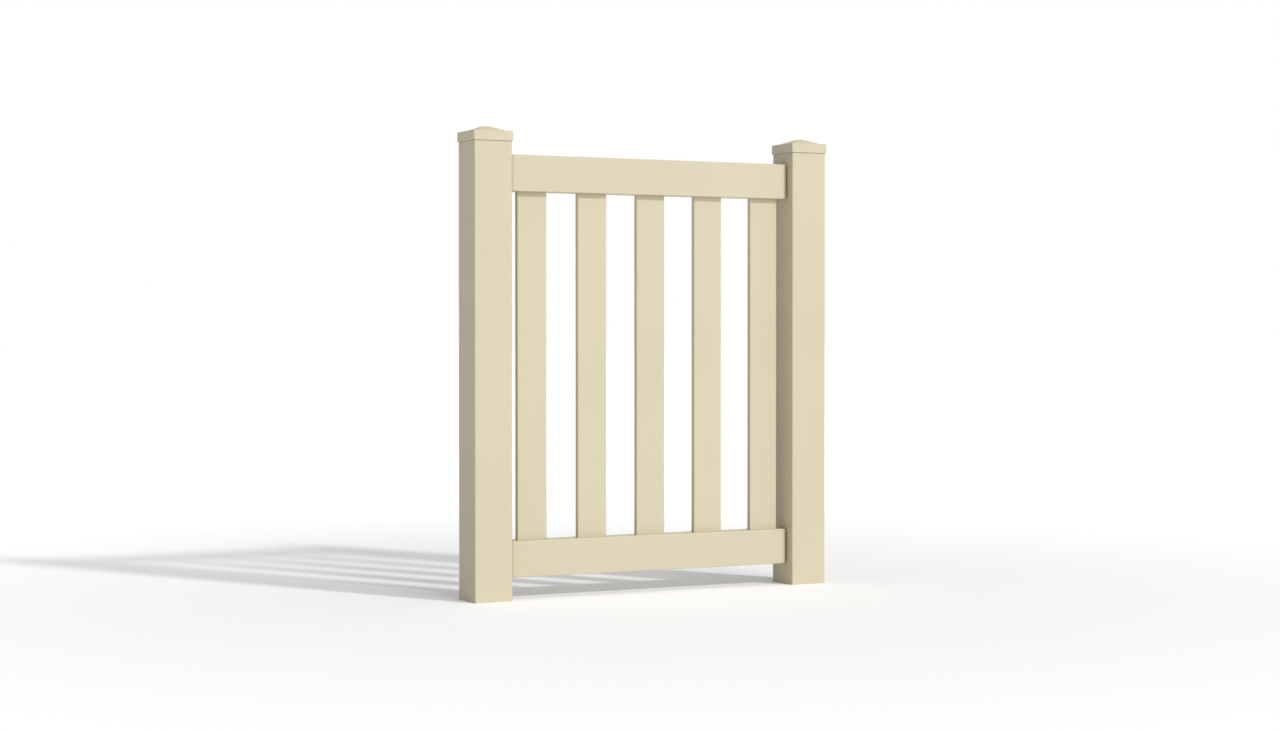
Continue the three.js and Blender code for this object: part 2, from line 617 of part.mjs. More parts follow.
function boltPlate() {
  const back = RAIL_REAR + CONTACT_GAP;
  const outline = roundedRectangle(BOLT_PLATE_LENGTH, BOLT_PLATE_HEIGHT, 3);
  const middle = BOLT_PLATE_LEFT + BOLT_PLATE_LENGTH / 2;
  const plate = extrudeY(outline, back, back + BOLT_PLATE).translate(middle, 0, 0);
  const foot = back + 1 - BOLT_Y;
  const inside = back + BOLT_PLATE - BOLT_Y;
  const loops = LOOPS.map((x) => {
    const outer = extrudeX(loopSection(LOOP_BORE + LOOP_WALL, foot), x, x + LOOP_WIDTH);
    return cut(outer, [extrudeX(loopSection(LOOP_BORE, inside), x - 1, x + LOOP_WIDTH + 1)]);
  });
  loops.forEach((loop) => loop.translate(0, BOLT_Y, 0));
  return cut(join(plate, ...loops), rearScrewTools(BOLT_SCREWS, BOLT_PLATE + 1));
}

function boltRod() {
  const profile = [
    [0, 0], [BOLT_RADIUS - 2, 0], [BOLT_RADIUS, 2.5], [BOLT_RADIUS, BOLT_LENGTH - 1],
    [BOLT_RADIUS - 1, BOLT_LENGTH], [0, BOLT_LENGTH],
  ];
  const points = profile.map(([radius, along]) => new THREE.Vector2(radius, along));
  const shaft = new THREE.LatheGeometry(points, ROUND_SIDES).rotateZ(-Math.PI / 2);
  const socket = rod("y", KNOB_SPIGOT_RADIUS + CONTACT_GAP, 0, BOLT_RADIUS + 1, SCREW_SIDES);
  return cut(shaft, [socket.translate(KNOB_ALONG, 0, 0)]);
}

// The knob's stem meets the second loop when the bolt is drawn, and the first when it is shot.
const KNOB_ALONG = LOOPS[1] - KNOB_CLEARANCE - KNOB_STEM_RADIUS - BOLT_TIP_X;

// Turned about Y, with a spigot in the bolt, from the bolt's axis outwards.
function boltKnob() {
  const profile = [
    [0, 1], [KNOB_SPIGOT_RADIUS, 1], [KNOB_SPIGOT_RADIUS, BOLT_RADIUS + CONTACT_GAP],
    [KNOB_STEM_RADIUS, BOLT_RADIUS + CONTACT_GAP],
    [KNOB_STEM_RADIUS - 0.6, 10], [KNOB_HEAD_RADIUS - 0.6, 12], [KNOB_HEAD_RADIUS, 13.5],
    [KNOB_HEAD_RADIUS - 0.7, 15.6], [KNOB_HEAD_RADIUS - 3, 16.7], [0, 17],
  ];
  return new THREE.LatheGeometry(profile.map(([radius, y]) => new THREE.Vector2(radius, y)), ROUND_SIDES);
}

// An angle on the latch post's inner face: a flange with the bolt's hole, and a lip that stops the leaf.
function strikePlate() {
  const back = CONTACT_GAP;
  const half = STRIKE_HEIGHT / 2;
  const front = RAIL_REAR - STRIKE_PLATE;
  const rear = POST_WIDTH / 2 - POST_CORNER;
  const hole = STRIKE_HOLE / 2;
  const flange = block([back, back + STRIKE_PLATE], [front, rear], [-half, half]);
  const lip = block([back, back + STRIKE_LIP], [front, front + STRIKE_PLATE], [-half, half]);
  const tools = [block([back - 1, back + STRIKE_PLATE + 1], [BOLT_Y - hole, BOLT_Y + hole], [-hole, hole])];
  for (const [y, z] of STRIKE_SCREWS) {
    const tool = countersink(STRIKE_PLATE + 2).rotateZ(-Math.PI / 2);
    tools.push(tool.translate(back + STRIKE_PLATE, y, z));
  }
  return cut(join(flange, lip), tools);
}

function buildBolt(posts, leaf) {
  add(leaf, "bolt_plate", boltPlate(), BLACK_STEEL, 0, 0, TOP_RAIL_Z);
  const face = RAIL_REAR + CONTACT_GAP + BOLT_PLATE;
  BOLT_SCREWS.forEach(([x, z], i) => {
    const screw = panScrew(face - SCREW_TIP_Y);
    add(leaf, `bolt_plate_screw_${i + 1}`, screw, STAINLESS, x, face, TOP_RAIL_Z + z);
  });
  const bolt = new THREE.Group();
  bolt.position.set(BOLT_TIP_X, BOLT_Y, TOP_RAIL_Z);
  leaf.add(bolt);
  add(bolt, "bolt_rod", boltRod(), BLACK_STEEL);
  add(bolt, "bolt_knob", boltKnob(), BLACK_STEEL, KNOB_ALONG);
  const strike = new THREE.Group();
  strike.position.set(-OPENING / 2, 0, TOP_RAIL_Z);
  posts.add(strike);
  add(strike, "strike_plate", strikePlate(), BLACK_STEEL);
  STRIKE_SCREWS.forEach(([y, z], i) => {
    const screw = countersunkScrew(STRIKE_SCREW_LENGTH).rotateZ(-Math.PI / 2);
    add(strike, `strike_plate_screw_${i + 1}`, screw, STAINLESS, CONTACT_GAP + STRIKE_PLATE, y, z);
  });
}

// ---- The gate ----

const gate = new THREE.Group();
const posts = new THREE.Group();
const leaf = new THREE.Group();
gate.add(posts, leaf);

posts.add(buildPost("latch_post", 1, strikeHoles, true));
posts.add(buildPost("hinge_post", -1, hingeHoles, false));
buildRail(leaf, "top_rail", TOP_RAIL_Z, -1, [...strapHoles, ...BOLT_SCREWS]);
buildRail(leaf, "bottom_rail", BOTTOM_RAIL_Z, 1, strapHoles);
for (let i = 0; i < PICKET_COUNT; i++) {
  add(leaf, `picket_${i + 1}`, picket(), VINYL, picketX(i));
}
buildHinge("top_hinge", TOP_RAIL_Z, posts, leaf);
buildHinge("bottom_hinge", BOTTOM_RAIL_Z, posts, leaf);
buildBolt(posts, leaf);

export default gate;
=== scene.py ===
"""The looks of the garden gate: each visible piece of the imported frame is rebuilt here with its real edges, rolled
hinge eyes, screw recesses and finish, in metres and in the frame's own axes. -Y is the street, +Y the garden."""

import json
import math

import bmesh
import bpy
from mathutils import Matrix, Vector


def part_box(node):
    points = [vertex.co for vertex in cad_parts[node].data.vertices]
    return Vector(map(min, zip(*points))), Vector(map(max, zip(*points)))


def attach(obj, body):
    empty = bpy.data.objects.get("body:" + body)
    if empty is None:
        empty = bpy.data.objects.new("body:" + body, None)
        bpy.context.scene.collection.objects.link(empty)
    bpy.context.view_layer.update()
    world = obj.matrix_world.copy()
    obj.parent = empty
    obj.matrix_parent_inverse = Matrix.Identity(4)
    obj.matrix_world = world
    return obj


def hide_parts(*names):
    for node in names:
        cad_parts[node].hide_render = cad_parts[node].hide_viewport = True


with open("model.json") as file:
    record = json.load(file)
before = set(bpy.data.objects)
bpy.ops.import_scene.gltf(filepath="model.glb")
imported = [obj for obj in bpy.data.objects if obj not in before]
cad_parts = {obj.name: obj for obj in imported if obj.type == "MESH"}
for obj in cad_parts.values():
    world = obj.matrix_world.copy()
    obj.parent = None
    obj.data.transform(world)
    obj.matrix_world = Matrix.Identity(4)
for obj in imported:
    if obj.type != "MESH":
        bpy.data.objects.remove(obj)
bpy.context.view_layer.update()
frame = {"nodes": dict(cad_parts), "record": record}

MM = 0.001
BODY_OF = {node: body for body, nodes in frame["record"]["behaviour"]["bodies"].items() for node in nodes}
scene = bpy.context.scene

# ---- Camera, light and floor ----

CAMERA_PLACE = (-2.815, -5.332, 0.6705)
CAMERA_YAW = math.radians(27.65)  # from +Y towards +X
CAMERA_PITCH = math.radians(-0.914)
CAMERA_LENS = 66.7
CAMERA_SENSOR = 36.0
CAMERA_FAR = 500.0
# Distant lights over the street: heading from -Y towards +X, height above the floor, spread (degrees), strength.
LIGHTS = {
    "key": (27.0, 33.0, 5.0, 1.50),
    "wide": (8.0, 34.0, 18.0, 0.36),
    "low": (0.0, 12.0, 25.0, 0.58),
    "top": (0.0, 80.0, 50.0, 0.78),
}
SKY = 0.26
SKY_COLOR = (0.97, 0.985, 1.0, 1.0)
WHITE = (1.0, 1.0, 1.0, 1.0)
FLOOR_HALF = 60.0
FLOOR_COLOR = (0.98, 0.98, 0.98, 1.0)
GLOW_RANGE = (0.8, 3.5)  # metres from the middle of the gate
GLOW_STRENGTH = (0.04, 0.25)  # at the ends of that range


def make_camera():
    data = bpy.data.cameras.new("camera")
    data.sensor_width = CAMERA_SENSOR
    data.lens = CAMERA_LENS
    data.clip_end = CAMERA_FAR
    camera = bpy.data.objects.new("camera", data)
    camera.location = CAMERA_PLACE
    camera.rotation_euler = (math.pi / 2 + CAMERA_PITCH, 0.0, -CAMERA_YAW)
    scene.collection.objects.link(camera)
    scene.camera = camera


def make_lights():
    for name, (heading, height, spread, strength) in LIGHTS.items():
        data = bpy.data.lights.new(name, "SUN")
        data.energy = strength
        data.angle = math.radians(spread)
        light = bpy.data.objects.new(name, data)
        turn, rise = math.radians(heading), math.radians(height)
        towards = Vector((math.cos(rise) * math.sin(turn), -math.cos(rise) * math.cos(turn), math.sin(rise)))
        light.rotation_euler = towards.to_track_quat("Z", "Y").to_euler()
        scene.collection.objects.link(light)


def make_world():
    """An even, weak dome that the camera and reflections see as a plain white backdrop."""
    world = bpy.data.worlds.new("studio")
    scene.world = world
    world.use_nodes = True
    nodes, links = world.node_tree.nodes, world.node_tree.links
    nodes.clear()
    dome = nodes.new("ShaderNodeBackground")
    dome.inputs["Color"].default_value = SKY_COLOR
    dome.inputs["Strength"].default_value = SKY
    white = nodes.new("ShaderNodeBackground")
    white.inputs["Color"].default_value = WHITE
    seen = nodes.new("ShaderNodeLightPath")
    mix = nodes.new("ShaderNodeMixShader")
    out = nodes.new("ShaderNodeOutputWorld")
    either = nodes.new("ShaderNodeMath")
    either.operation = "MAXIMUM"
    links.new(seen.outputs["Is Camera Ray"], either.inputs[0])
    links.new(seen.outputs["Is Glossy Ray"], either.inputs[1])
    links.new(either.outputs[0], mix.inputs[0])
    links.new(dome.outputs[0], mix.inputs[1])
    links.new(white.outputs[0], mix.inputs[2])
    links.new(mix.outputs[0], out.inputs["Surface"])


# ---- Finishes ----


class Finish:
    """A Principled material, and short calls that wire textures into it."""

    def __init__(self, name, roughness, metallic=0.0):
        self.material = bpy.data.materials.new(name)
        self.material.use_nodes = True
        self.tree = self.material.node_tree
        self.shader = self.tree.nodes["Principled BSDF"]
        self.shader.inputs["Roughness"].default_value = roughness
        self.shader.inputs["Metallic"].default_value = metallic
        self.place = self.tree.nodes.new("ShaderNodeTexCoord").outputs["Object"]

    def noise(self, scale, stretch=(1, 1, 1), detail=3.0):
        """Noise over the piece; stretch makes its grain longer along an axis by a smaller number."""
        mapping = self.tree.nodes.new("ShaderNodeMapping")
        mapping.inputs["Scale"].default_value = stretch
        noise = self.tree.nodes.new("ShaderNodeTexNoise")
        noise.inputs["Scale"].default_value = scale
        noise.inputs["Detail"].default_value = detail
        self.tree.links.new(self.place, mapping.inputs["Vector"])
        self.tree.links.new(mapping.outputs[0], noise.inputs["Vector"])
        return noise.outputs["Fac"]

    def cells(self, scale):
        cells = self.tree.nodes.new("ShaderNodeTexVoronoi")
        cells.inputs["Scale"].default_value = scale
        self.tree.links.new(self.place, cells.inputs["Vector"])
        return cells.outputs["Color"]

    def span(self, value, low, high, clip=(0.3, 0.7)):
        """The value, from the clip range to low and high."""
        node = self.tree.nodes.new("ShaderNodeMapRange")
        node.inputs["From Min"].default_value, node.inputs["From Max"].default_value = clip
        node.inputs["To Min"].default_value, node.inputs["To Max"].default_value = low, high
        self.tree.links.new(value, node.inputs["Value"])
        return node.outputs[0]

    def blend(self, value, dark, light, clip=(0.3, 0.7)):
        node = self.tree.nodes.new("ShaderNodeMix")
        node.data_type = "RGBA"
        node.inputs["A"].default_value = (*dark, 1.0)
        node.inputs["B"].default_value = (*light, 1.0)
        self.tree.links.new(self.span(value, 0.0, 1.0, clip), node.inputs["Factor"])
        return node.outputs["Result"]

    def color(self, output):
        self.tree.links.new(output, self.shader.inputs["Base Color"])

    def roughness(self, output):
        self.tree.links.new(output, self.shader.inputs["Roughness"])

    def bump(self, height, depth, strength=1.0):
        """Adds a bump of a depth in metres over those that are there already."""
        node = self.tree.nodes.new("ShaderNodeBump")
        node.inputs["Strength"].default_value = strength
        node.inputs["Distance"].default_value = depth
        self.tree.links.new(height, node.inputs["Height"])
        normal = self.shader.inputs["Normal"]
        if normal.is_linked:
            self.tree.links.new(normal.links[0].from_socket, node.inputs["Normal"])
        self.tree.links.new(node.outputs[0], normal)


VINYL_DARK = (0.553, 0.497, 0.357)
VINYL_LIGHT = (0.577, 0.519, 0.376)
VINYL_SPECULAR = 0.3
COAT_SPECULAR = 0.45
ALONG_X = (0.004, 1, 1)  # a grain drawn out along a rail
ALONG_Z = (1, 1, 0.004)  # and along a post or a picket
BRUSHED_X = (0.02, 1, 1)


def vinyl(name, grain):
    """Satin almond vinyl; its die lines run along the axis where grain is small."""
    made = Finish(name, 0.5)
    made.shader.inputs["Specular IOR Level"].default_value = VINYL_SPECULAR
    made.color(made.blend(made.noise(2.5, detail=4.0), VINYL_DARK, VINYL_LIGHT))
    made.roughness(made.span(made.noise(9.0, grain, 5.0), 0.44, 0.58))
    made.bump(made.noise(260.0, grain, 2.0), 0.05 * MM, 0.35)
    made.bump(made.noise(1800.0, detail=2.0), 0.02 * MM, 0.25)
    return made.material


def moulded_vinyl():
    made = Finish("vinyl_moulded", 0.5)
    made.shader.inputs["Specular IOR Level"].default_value = VINYL_SPECULAR
    made.color(made.blend(made.noise(6.0, detail=4.0), VINYL_DARK, VINYL_LIGHT))
    made.roughness(made.span(made.noise(40.0, detail=5.0), 0.44, 0.56))
    made.bump(made.noise(900.0, detail=3.0), 0.03 * MM, 0.3)
    return made.material


def powder_coat():
    made = Finish("black_powder_coat", 0.4)
    made.shader.inputs["Specular IOR Level"].default_value = COAT_SPECULAR
    made.color(made.blend(made.noise(60.0, detail=5.0), (0.010, 0.011, 0.012), (0.020, 0.021, 0.022)))
    made.roughness(made.span(made.noise(150.0, detail=4.0), 0.34, 0.50))
    made.bump(made.noise(1100.0, detail=2.0), 0.06 * MM, 0.5)
    return made.material


def stainless():
    made = Finish("stainless", 0.28, metallic=1.0)
    made.color(made.blend(made.noise(300.0, detail=4.0), (0.55, 0.55, 0.54), (0.66, 0.66, 0.66)))
    made.roughness(made.span(made.noise(1500.0, detail=3.0), 0.2, 0.36))
    made.bump(made.noise(2500.0, detail=2.0), 0.01 * MM, 0.3)
    return made.material


def galvanised():
    made = Finish("galvanised", 0.5, metallic=1.0)
    made.color(made.blend(made.cells(90.0), (0.42, 0.44, 0.45), (0.60, 0.62, 0.63), (0.0, 1.0)))
    made.roughness(made.span(made.cells(90.0), 0.38, 0.62, (0.0, 1.0)))
    made.bump(made.noise(160.0, detail=3.0), 0.08 * MM, 0.3)
    return made.material


def aluminium():
    made = Finish("aluminium", 0.38, metallic=1.0)
    made.color(made.blend(made.noise(120.0, BRUSHED_X, 4.0), (0.68, 0.69, 0.70), (0.80, 0.81, 0.82)))
    made.roughness(made.span(made.noise(400.0, BRUSHED_X, 3.0), 0.30, 0.46))
    made.bump(made.noise(1500.0, BRUSHED_X, 2.0), 0.02 * MM, 0.4)
    return made.material


def moulded(name, dark, light, roughness):
    made = Finish(name, roughness)
    made.color(made.blend(made.noise(80.0, detail=4.0), dark, light))
    made.roughness(made.span(made.noise(300.0, detail=3.0), roughness - 0.06, roughness + 0.08))
    made.bump(made.noise(1400.0, detail=2.0), 0.04 * MM, 0.35)
    return made.material


def floor_finish():
    """Matt white, with a faint glow away from the gate that hides where the floor meets the white background."""
    made = Finish("floor", 0.8)
    made.shader.inputs["Specular IOR Level"].default_value = 0.0
    made.shader.inputs["Base Color"].default_value = FLOOR_COLOR
    made.shader.inputs["Emission Color"].default_value = WHITE
    reach = made.tree.nodes.new("ShaderNodeVectorMath")
    reach.operation = "LENGTH"
    made.tree.links.new(made.place, reach.inputs[0])
    glow = made.span(reach.outputs["Value"], *GLOW_STRENGTH, GLOW_RANGE)
    made.tree.links.new(glow, made.shader.inputs["Emission Strength"])
    return made.material


VINYL_UPRIGHT = vinyl("vinyl_upright", ALONG_Z)
VINYL_LEVEL = vinyl("vinyl_level", ALONG_X)
VINYL_MOULDED = moulded_vinyl()
BLACK = powder_coat()
STAINLESS = stainless()
GALVANISED = galvanised()
ALUMINIUM = aluminium()
NYLON = moulded("nylon", (0.70, 0.68, 0.62), (0.78, 0.76, 0.70), 0.45)
COLLAR = moulded("collar", (0.095, 0.098, 0.10), (0.125, 0.128, 0.13), 0.55)

# ---- Shapes ----

CORNER_STEPS = 8
EASE_STEPS = 3
SHARP = math.radians(34.0)


def evaluated_mesh(piece):
    """The piece's mesh with its modifiers in it."""
    graph = bpy.context.evaluated_depsgraph_get()
    return bpy.data.meshes.new_from_object(piece.evaluated_get(graph), preserve_all_data_layers=True, depsgraph=graph)


def apply_modifiers(piece):
    mesh = evaluated_mesh(piece)
    piece.modifiers.clear()
    piece.data = mesh
    return piece


def solid(name, points, faces):
    """A closed mesh with its faces turned outwards."""
    mesh = bpy.data.meshes.new(name)
    mesh.from_pydata([tuple(p) for p in points], [], faces)
    work = bmesh.new()
    work.from_mesh(mesh)
    bmesh.ops.remove_doubles(work, verts=work.verts, dist=1e-7)
    bmesh.ops.recalc_face_normals(work, faces=work.faces)
    work.to_mesh(mesh)
    work.free()
    piece = bpy.data.objects.new(name, mesh)
    scene.collection.objects.link(piece)
    return piece


def place_on(axis, u, v, w):
    """A section's u and v, and a place w along the axis, as x, y and z."""
    return Vector({"x": (w, u, v), "y": (u, w, v), "z": (u, v, w)}[axis])


def loft(name, axis, centre, rings, closed=False):
    """A skin through rings of (outline, place along the axis). Unless it closes on itself, flat ends close it."""
    count = len(rings[0][0])
    points = [Vector(centre) + place_on(axis, u, v, w) for outline, w in rings for u, v in outline]
    faces = []
    for level in range(len(rings) if closed else len(rings) - 1):
        low, high = level * count, (level + 1) % len(rings) * count
        for i in range(count):
            j = (i + 1) % count
            faces.append((low + i, low + j, high + j, high + i))
    if not closed:
        last = (len(rings) - 1) * count
        faces += [tuple(range(count)), tuple(range(last, last + count))]
    return solid(name, points, faces)


def circle(radius, sides):
    turn = 2 * math.pi / sides
    return [(radius * math.cos(i * turn), radius * math.sin(i * turn)) for i in range(sides)]


def arc(u, v, radius, start, end, steps):
    """Points on an arc, its angles in degrees."""
    angles = [math.radians(start + (end - start) * step / steps) for step in range(steps + 1)]
    return [(u + radius * math.cos(a), v + radius * math.sin(a)) for a in angles]


def rounded(half_u, half_v, radius, steps=CORNER_STEPS):
    """A rectangle with round corners about the origin, anticlockwise."""
    points = []
    for quarter, (side_u, side_v) in enumerate(((1, 1), (-1, 1), (-1, -1), (1, -1))):
        start = quarter * 90
        points += arc(side_u * (half_u - radius), side_v * (half_v - radius), radius, start, start + 90, steps)
    return points


def inset(points, amount):
    """An anticlockwise outline moved inwards, its corners mitred."""
    moved = []
    for before, at, after in zip(points[-1:] + points[:-1], points, points[1:] + points[:1]):
        into = []
        for start, end in ((before, at), (at, after)):
            run = Vector((end[0] - start[0], end[1] - start[1])).normalized()
            into.append(Vector((-run.y, run.x)))
        shift = (into[0] + into[1]) * (amount / (1 + into[0].dot(into[1])))
        moved.append((at[0] + shift.x, at[1] + shift.y))
    return moved


def bar(name, axis, centre, outline, start, end, ease):
    """A solid extrusion of any outline, its two ends rounded over by ease."""
    rings = []
    for step in range(EASE_STEPS + 1):
        angle = step / EASE_STEPS * math.pi / 2
        rings.append((inset(outline, ease * (1 - math.sin(angle))), start + ease * (1 - math.cos(angle))))
    rings += [(points, start + end - w) for points, w in reversed(rings)]
    return loft(name, axis, centre, rings)


def lathe(name, axis, centre, profile, sides=48, closed=False):
    """A profile of (radius, place along the axis) turned round the axis."""
    return loft(name, axis, centre, [(circle(radius, sides), along) for radius, along in profile], closed)


def combine(piece, tools, operation):
    for tool in tools:
        change = piece.modifiers.new("cut", "BOOLEAN")
        change.operation = operation
        change.solver = "EXACT"
        change.object = tool
    bpy.context.view_layer.update()
    apply_modifiers(piece)
    for tool in tools:
        bpy.data.objects.remove(tool)
    return piece


def carve(piece, *tools):
    return combine(piece, tools, "DIFFERENCE")


def join(piece, *others):
    return combine(piece, others, "UNION")


def section_of(axis, low, high):
    """A box seen along an axis: the section's centre and half sizes, and where it starts and ends."""
    middle = (low + high) / 2
    half = (high - low) / 2
    along = "xyz".index(axis)
    start, end = low[along], high[along]
    middle[along] = 0.0
    across = [half[i] for i in range(3) if i != along]
    return middle, across, start, end


def tube(name, axis, box, wall, radius, ease=0.4 * MM, groove=()):
    """A hollow extrusion that fills a box along an axis, with round edges and eased ends, and perhaps a groove
    around it, given as its lower edge, upper edge and depth."""
    centre, (half_u, half_v), start, end = section_of(axis, *box)
    outside = rounded(half_u, half_v, radius)
    eased = rounded(half_u - ease, half_v - ease, max(radius - ease, ease))
    inside = rounded(half_u - wall, half_v - wall, max(radius - wall, 0.8 * MM))
    rings = [(eased, start), (outside, start + ease)]
    if groove:
        lower, upper, depth = groove
        floor = rounded(half_u - depth, half_v - depth, radius - depth)
        rings += [(outside, lower), (floor, lower), (floor, upper), (outside, upper)]
    rings += [(outside, end - ease), (eased, end), (inside, end), (inside, start)]
    return loft(name, axis, centre, rings, closed=True)


def stand_for(piece, node, finish):
    """Shades a finished piece and puts it in the place of its CAD node."""
    piece.data.shade_smooth()
    piece.data.set_sharp_from_angle(angle=SHARP)
    weighted = piece.modifiers.new("normals", "WEIGHTED_NORMAL")
    weighted.keep_sharp = True
    apply_modifiers(piece)
    piece.data.materials.clear()
    piece.data.materials.append(finish)
    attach(piece, BODY_OF[node])
    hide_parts(node)
    return piece


def middle_of(node):
    low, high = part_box(node)
    return (low + high) / 2


def pin_hole(axis, centre, radius, start, end, sides=32):
    return lathe("hole", axis, centre, [(radius, start), (radius, end)], sides)


# ---- Posts ----

POST_WALL = 4 * MM
POST_CORNER = 3 * MM
BOLT_HOLE = 8.5 * MM
SCREW_HOLE = 2.5 * MM
HOLE_REACH = 6 * MM  # of a cutter, past the hardware's back and through the wall
HOLE_START = 2 * MM  # and in front of it
CAP_SKIRT = 24 * MM
CAP_LEDGE = 9 * MM
CAP_TIP = 13 * MM
CAP_SHELL = 3 * MM
CAP_REVEAL = 1.2 * MM  # the dark line between the skirt and the post
REVEAL_COVER = 2 * MM  # how far the groove runs up behind the skirt
REVEAL_DEPTH = 1.3 * MM
CAP_CLEARANCE = 2.2 * MM  # from the skirt's face to its inner face
CAP_EDGE = 1.2 * MM
CAP_CORNER = 2.5 * MM
CAP_HIP = 3 * MM
CAP_LIP = 0.5 * MM  # the easing of the skirt's lower edge


def cap_height(distance, rise, foot):
    """The height of the cap's pyramid over the skirt, at a distance from its axis."""
    flat = distance if distance > CAP_TIP else (distance**2 + CAP_TIP**2) / (2 * CAP_TIP)
    return rise * (1 - flat / foot)


def build_cap(node):
    low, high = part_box(node)
    centre, (half, _), bottom, top = section_of("z", low, high)
    foot = half - CAP_LEDGE
    shoulder = bottom + CAP_SKIRT
    rise = (top - shoulder) / (1 - CAP_TIP / (2 * foot))
    inner = half - CAP_CLEARANCE
    ceiling = shoulder - CAP_SHELL
    lip = CAP_LIP
    rings = [
        (rounded(CAP_TIP, CAP_TIP, 1.2 * MM), ceiling + cap_height(CAP_TIP, rise, foot)),
        (rounded(inner, inner, 1.2 * MM), ceiling),
        (rounded(inner, inner, 1.2 * MM), bottom + lip),
        (rounded(inner + lip, inner + lip, 1.5 * MM), bottom),
        (rounded(half - lip, half - lip, CAP_CORNER - lip), bottom),
        (rounded(half, half, CAP_CORNER), bottom + lip),
    ]
    for distance, z in arc(half - CAP_EDGE, shoulder - CAP_EDGE, CAP_EDGE, 0, 90, 4):
        rings.append((rounded(distance, distance, CAP_CORNER), z))
    slope = [foot + 0.8 * MM, foot - 0.4 * MM, foot - 1.6 * MM] + [foot * share for share in (0.8, 0.6, 0.45)]
    slope += [CAP_TIP * share for share in (1.15, 1.0, 0.85, 0.7, 0.55, 0.4, 0.25, 0.12)]
    for distance in slope:
        z = shoulder + max(cap_height(distance, rise, foot), 0.0)
        rings.append((rounded(distance, distance, min(CAP_HIP, distance * 0.95)), z))
    stand_for(loft("fine_" + node, "z", centre, rings), node, VINYL_MOULDED)


def build_post(node, holes):
    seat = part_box(node + "_cap")[0].z
    groove = (seat - CAP_REVEAL, seat + REVEAL_COVER, REVEAL_DEPTH)
    piece = tube("fine_" + node, "z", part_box(node), POST_WALL, POST_CORNER, groove=groove)
    stand_for(carve(piece, *holes), node, VINYL_UPRIGHT)
    build_cap(node + "_cap")


def build_posts():
    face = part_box("strike_plate")[0].x
    tools = []
    for i in (1, 2):
        at = middle_of(f"strike_plate_screw_{i}")
        tools.append(pin_hole("x", (0, at.y, at.z), SCREW_HOLE, face - HOLE_REACH, face + HOLE_START))
    at = middle_of("bolt_rod")
    square = rounded(BOLT_HOLE, BOLT_HOLE, 0.8 * MM)
    tools.append(loft("hole", "x", (0, at.y, at.z), [(square, face - HOLE_REACH), (square, face + HOLE_START)]))
    build_post("latch_post", tools)
    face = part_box("top_hinge_post_leaf")[1].x
    tools = []
    for hinge in ("top_hinge", "bottom_hinge"):
        for i in (1, 2, 3, 4):
            at = middle_of(f"{hinge}_post_screw_{i}")
            tools.append(pin_hole("x", (0, at.y, at.z), SCREW_HOLE, face - HOLE_START, face + HOLE_REACH))
    build_post("hinge_post", tools)


# ---- Leaf ----

RAIL_WALL = 3 * MM
RAIL_CORNER = 2 * MM
PICKET_WALL = 1.8 * MM
PICKET_CORNER = 2.5 * MM
SLOT_CLEARANCE = 0.4 * MM
PLUG_ROUND = 4 * MM
PLUG_FLANGE = 5 * MM
PLUG_GAP = 0.15 * MM
PLUG_WALL = 2.5 * MM
DRAIN_RADIUS = 3 * MM
PICKETS = ["picket_1", "picket_2", "picket_3", "picket_4", "picket_5"]
REAR_SCREWS = {
    "top_rail": [f"top_hinge_strap_screw_{i}" for i in (1, 2, 3)] + [f"bolt_plate_screw_{i}" for i in (1, 2, 3, 4)],
    "bottom_rail": [f"bottom_hinge_strap_screw_{i}" for i in (1, 2, 3)],
}


def build_rail(node, open_side):
    """open_side is the way to the pickets: -1 down from the top rail, +1 up from the bottom rail."""
    low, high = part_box(node)
    piece = tube("fine_" + node, "x", (low, high), RAIL_WALL, RAIL_CORNER)
    face = high.z if open_side > 0 else low.z
    floor = low.z if open_side > 0 else high.z
    tools = []
    for picket in PICKETS:
        centre, (half_x, half_y), _, _ = section_of("z", *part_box(picket))
        slot = rounded(half_x + SLOT_CLEARANCE, half_y + SLOT_CLEARANCE, PICKET_CORNER + SLOT_CLEARANCE)
        ends = sorted((face + open_side * MM, face - open_side * (RAIL_WALL + MM)))
        tools.append(loft("slot", "z", centre, [(slot, ends[0]), (slot, ends[1])]))
    for screw in REAR_SCREWS[node]:
        at = middle_of(screw)
        tools.append(pin_hole("y", (at.x, 0, at.z), SCREW_HOLE, high.y - RAIL_WALL - MM, high.y + MM))
    if open_side > 0:
        for left, right in (PICKETS[1:3], PICKETS[3:5]):
            x = (middle_of(left).x + middle_of(right).x) / 2
            tools.append(pin_hole("z", (x, 0, 0), DRAIN_RADIUS, floor - MM, floor + RAIL_WALL + MM))
    stand_for(carve(piece, *tools), node, VINYL_LEVEL)


def build_plug(node, side):
    """A plug whose flange faces along X by side, with a hollow spigot inside the rail."""
    low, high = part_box(node)
    centre, (half_y, half_z), _, _ = section_of("x", low, high)
    outer = high.x if side > 0 else low.x
    inner = low.x if side > 0 else high.x
    seat = outer - side * (PLUG_FLANGE - PLUG_GAP)
    bore = rounded(half_y - RAIL_WALL - PLUG_GAP - PLUG_WALL, half_z - RAIL_WALL - PLUG_GAP - PLUG_WALL, 0.8 * MM)
    spigot = rounded(half_y - RAIL_WALL - PLUG_GAP, half_z - RAIL_WALL - PLUG_GAP, 0.9 * MM)
    rings = [(bore, seat), (bore, inner), (spigot, inner), (spigot, seat)]
    rings.append((rounded(half_y, half_z, RAIL_CORNER), seat))
    for u, w in arc(0, 0, PLUG_ROUND, 0, 90, 6):
        back = PLUG_ROUND - u
        rings.append((rounded(half_y - back, half_z - back, RAIL_CORNER), outer - side * (PLUG_ROUND - w)))
    stand_for(loft("fine_" + node, "x", centre, rings), node, VINYL_MOULDED)


